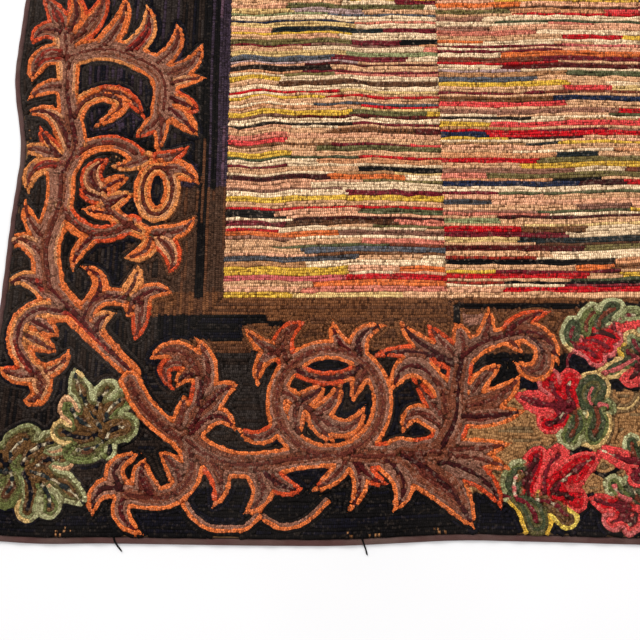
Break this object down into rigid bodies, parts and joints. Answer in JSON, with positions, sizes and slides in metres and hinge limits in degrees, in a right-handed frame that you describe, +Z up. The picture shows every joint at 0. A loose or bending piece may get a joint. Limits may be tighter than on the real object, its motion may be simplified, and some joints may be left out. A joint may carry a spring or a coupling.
{
  "type": "hooked rug",
  "caption": "Flat hand-hooked wool rug with a striped middle, a border of leafy scrolls and leaves, and a cotton tape sewn round its slightly uneven edge.",
  "frame": {"origin": "on the floor, under the middle of the rug's bounding box", "axes": "+X across the rug, +Y along it away from the viewer, +Z up out of the pile"},
  "size_m": [1.8396, 2.7616, 0.0076],
  "materials": {
    "hooked_wool": "dull looped wool in many colours, dark border, beige and red stripes",
    "cotton_tape": "dull red-brown cotton twill"
  },
  "bodies": {
    "root": {"rug": "hooked_wool", "binding_front": "cotton_tape", "binding_right": "cotton_tape", "binding_back": "cotton_tape", "binding_left": "cotton_tape"}
  },
  "joints": []
}
